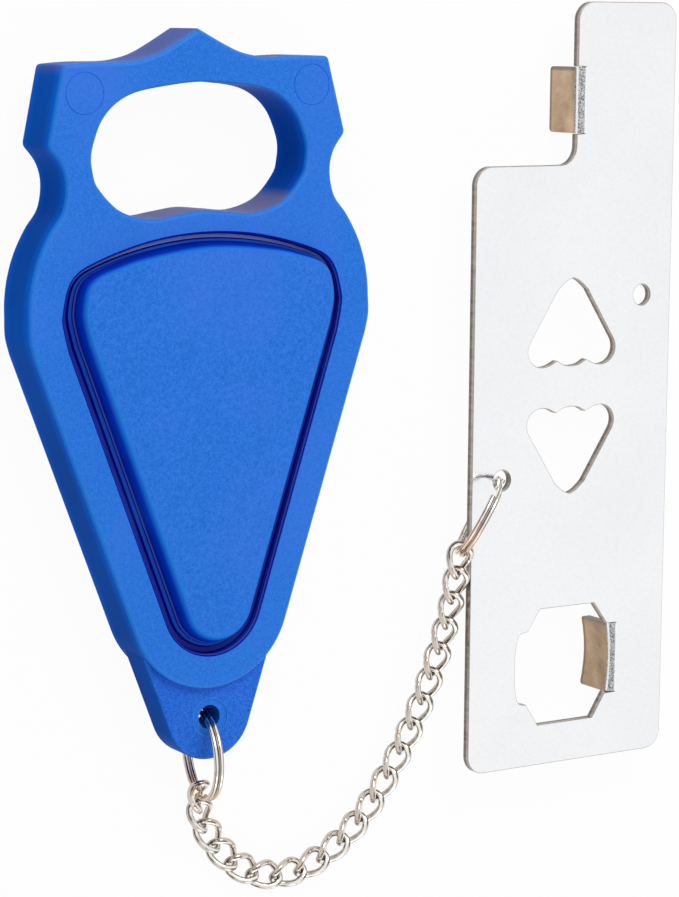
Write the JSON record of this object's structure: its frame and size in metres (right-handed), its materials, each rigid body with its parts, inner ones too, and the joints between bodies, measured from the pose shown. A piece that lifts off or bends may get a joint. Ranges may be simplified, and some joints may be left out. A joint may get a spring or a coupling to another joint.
{
  "type": "portable door lock",
  "caption": "Portable door lock: a wedge-shaped grip with a finger hole, tethered by a twisted chain and split rings to a flat plate with bent claws and wedge slots.",
  "frame": {"origin": "middle of the handle's flat back face, on its symmetry line", "axes": "+X to the handle's right, towards the plate; +Y along the handle to its crown; +Z out of the handle's front face, up from the surface that the lock lies on"},
  "size_m": [0.1402, 0.1614, 0.0166],
  "materials": {
    "blue_plastic": "satin moulded plastic with a fine grain",
    "plate_steel": "smooth bright satin sheet steel",
    "bright_nickel": "bright nickel-plated wire"
  },
  "bodies": {
    "handle": {"handle": "blue_plastic"},
    "ring_handle": {"ring_handle": "bright_nickel"},
    "link_01": {"link_01": "bright_nickel"},
    "link_02": {"link_02": "bright_nickel"},
    "link_03": {"link_03": "bright_nickel"},
    "link_04": {"link_04": "bright_nickel"},
    "link_05": {"link_05": "bright_nickel"},
    "link_06": {"link_06": "bright_nickel"},
    "link_07": {"link_07": "bright_nickel"},
    "link_08": {"link_08": "bright_nickel"},
    "link_09": {"link_09": "bright_nickel"},
    "link_10": {"link_10": "bright_nickel"},
    "link_11": {"link_11": "bright_nickel"},
    "link_12": {"link_12": "bright_nickel"},
    "link_13": {"link_13": "bright_nickel"},
    "link_14": {"link_14": "bright_nickel"},
    "link_15": {"link_15": "bright_nickel"},
    "link_16": {"link_16": "bright_nickel"},
    "link_17": {"link_17": "bright_nickel"},
    "link_18": {"link_18": "bright_nickel"},
    "link_19": {"link_19": "bright_nickel"},
    "link_20": {"link_20": "bright_nickel"},
    "link_21": {"link_21": "bright_nickel"},
    "ring_plate": {"ring_plate": "bright_nickel"},
    "plate": {"plate": "plate_steel"}
  },
  "joints": [
    {"name": "ring_handle_slide_round", "type": "hinge", "parent": "handle", "child": "ring_handle", "pos_m": [0, -0.0641, 0.0059], "axis": [0.9903, 0, 0.1392], "range_deg": [-35, 35]},
    {"name": "link_01_hinge", "type": "hinge", "parent": "ring_handle", "child": "link_01", "pos_m": [0.00008, -0.07043, 0.004], "axis": [-0.955, -0.2967, 0], "range_deg": [-8, 30]},
    {"name": "link_02_hinge", "type": "hinge", "parent": "link_01", "child": "link_02", "pos_m": [0.00138, -0.07459, 0.00126], "axis": [0.1174, -0.2784, 0.9533], "range_deg": [-25, 10]},
    {"name": "link_03_hinge", "type": "hinge", "parent": "link_02", "child": "link_03", "pos_m": [0.00328, -0.07911, -0.0003], "axis": [0.8589, 0.5121, 0], "range_deg": [-28, 28]},
    {"name": "link_04_hinge", "type": "hinge", "parent": "link_03", "child": "link_04", "pos_m": [0.00591, -0.08352, -0.00081], "axis": [-0.005, 0.0056, -1], "range_deg": [-10, 25]},
    {"name": "link_05_hinge", "type": "hinge", "parent": "link_04", "child": "link_05", "pos_m": [0.00934, -0.08736, -0.00085], "axis": [-0.5517, -0.834, 0], "range_deg": [-28, 28]},
    {"name": "link_06_hinge", "type": "hinge", "parent": "link_05", "child": "link_06", "pos_m": [0.01363, -0.0902, -0.00085], "axis": [0, 0, 1], "range_deg": [-25, 10]},
    {"name": "link_07_hinge", "type": "hinge", "parent": "link_06", "child": "link_07", "pos_m": [0.0186, -0.09158, -0.00085], "axis": [0.0438, -0.999, 0], "range_deg": [-28, 28]},
    {"name": "link_08_hinge", "type": "hinge", "parent": "link_07", "child": "link_08", "pos_m": [0.02374, -0.09136, -0.00085], "axis": [0, 0, -1], "range_deg": [-10, 25]},
    {"name": "link_09_hinge", "type": "hinge", "parent": "link_08", "child": "link_09", "pos_m": [0.02864, -0.08977, -0.00085], "axis": [-0.499, 0.8666, 0], "range_deg": [-28, 28]},
    {"name": "link_10_hinge", "type": "hinge", "parent": "link_09", "child": "link_10", "pos_m": [0.0331, -0.0872, -0.00085], "axis": [0, 0, 1], "range_deg": [-25, 10]},
    {"name": "link_11_hinge", "type": "hinge", "parent": "link_10", "child": "link_11", "pos_m": [0.03709, -0.08394, -0.00085], "axis": [0.7301, -0.6833, 0], "range_deg": [-28, 28]},
    {"name": "link_12_hinge", "type": "hinge", "parent": "link_11", "child": "link_12", "pos_m": [0.04061, -0.08018, -0.00085], "axis": [0.0086, 0.0116, -0.9999], "range_deg": [-10, 25]},
    {"name": "link_13_hinge", "type": "hinge", "parent": "link_12", "child": "link_13", "pos_m": [0.04369, -0.07605, -0.00078], "axis": [-0.855, 0.5186, 0], "range_deg": [-28, 28]},
    {"name": "link_14_hinge", "type": "hinge", "parent": "link_13", "child": "link_14", "pos_m": [0.04635, -0.07166, -0.0004], "axis": [-0.0488, -0.0986, 0.9939], "range_deg": [-25, 10]},
    {"name": "link_15_hinge", "type": "hinge", "parent": "link_14", "child": "link_15", "pos_m": [0.04862, -0.06707, 0.00016], "axis": [-0.9281, 0.3724, 0], "range_deg": [-28, 28]},
    {"name": "link_16_hinge", "type": "hinge", "parent": "link_15", "child": "link_16", "pos_m": [0.05052, -0.06234, 0.00088], "axis": [0.0505, 0.1579, -0.9862], "range_deg": [-10, 25]},
    {"name": "link_17_hinge", "type": "hinge", "parent": "link_16", "child": "link_17", "pos_m": [0.05207, -0.0575, 0.00174], "axis": [0.9708, -0.2398, 0], "range_deg": [-28, 28]},
    {"name": "link_18_hinge", "type": "hinge", "parent": "link_17", "child": "link_18", "pos_m": [0.05328, -0.05259, 0.00271], "axis": [-0.0372, -0.2061, 0.9778], "range_deg": [-25, 10]},
    {"name": "link_19_hinge", "type": "hinge", "parent": "link_18", "child": "link_19", "pos_m": [0.05418, -0.04764, 0.00379], "axis": [0.993, -0.1181, 0], "range_deg": [-28, 28]},
    {"name": "link_20_hinge", "type": "hinge", "parent": "link_19", "child": "link_20", "pos_m": [0.05477, -0.04266, 0.00496], "axis": [0.015, 0.2457, -0.9692], "range_deg": [-20, 10]},
    {"name": "link_21_hinge", "type": "hinge", "parent": "link_20", "child": "link_21", "pos_m": [0.05507, -0.03768, 0.00623], "axis": [1, -0.0058, 0], "range_deg": [-25, 12]},
    {"name": "ring_plate_slide_round", "type": "hinge", "parent": "link_21", "child": "ring_plate", "pos_m": [0.06015, -0.02764, 0.00643], "axis": [0.7279, -0.4997, 0.4695], "range_deg": [0, 30]},
    {"name": "plate_swivel", "type": "hinge", "parent": "ring_plate", "child": "plate", "pos_m": [0.06523, -0.02137, 0.00565], "axis": [0.6088, 0.786, -0.1074], "range_deg": [-30, 0]}
  ]
}
